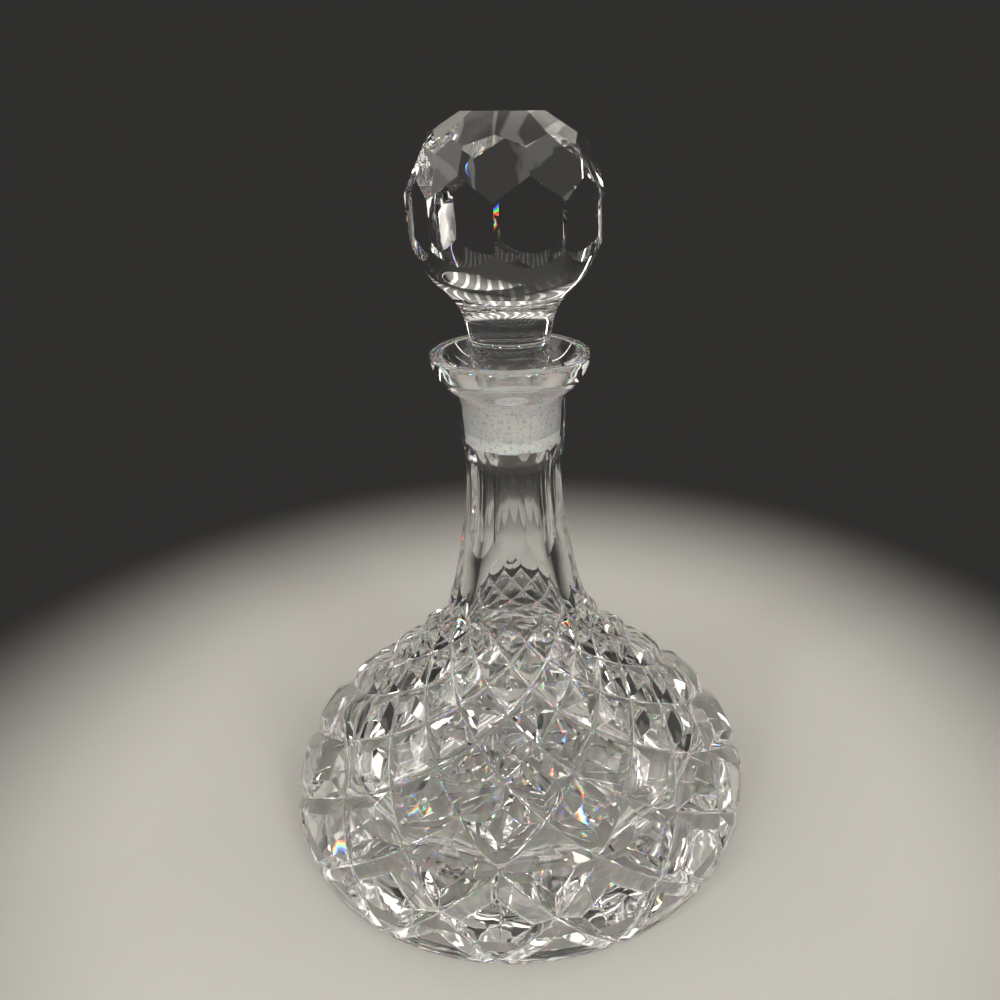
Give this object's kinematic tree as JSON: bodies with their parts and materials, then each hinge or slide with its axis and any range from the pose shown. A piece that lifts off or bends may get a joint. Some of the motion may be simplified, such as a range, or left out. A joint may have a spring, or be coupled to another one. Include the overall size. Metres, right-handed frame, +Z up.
{
  "type": "cut glass decanter",
  "caption": "Low wide ship's decanter in cut crystal with crossing V cuts, a fluted neck, a flared lip and a solid faceted ball stopper that lifts out.",
  "frame": {"origin": "centre of the base, on the surface that the decanter stands on", "axes": "+Z up along the common axis of the bowl, neck and stopper; -Y is the front, where a crossing of the cuts, a flute and an edge of the ball line up; +X to the right seen from the front"},
  "size_m": [0.1742, 0.1746, 0.2435],
  "materials": {
    "crystal": "polished cut crystal, with the tapered seat inside the mouth ground matt",
    "stopper_crystal": "polished solid crystal, with the tapered plug ground matt"
  },
  "bodies": {
    "decanter": {"decanter": "crystal"},
    "stopper": {"stopper": "stopper_crystal"}
  },
  "joints": [
    {"name": "stopper_lift", "type": "slide", "parent": "decanter", "child": "stopper", "axis": [0, 0, 1], "range_m": [0, 0.11]}
  ]
}
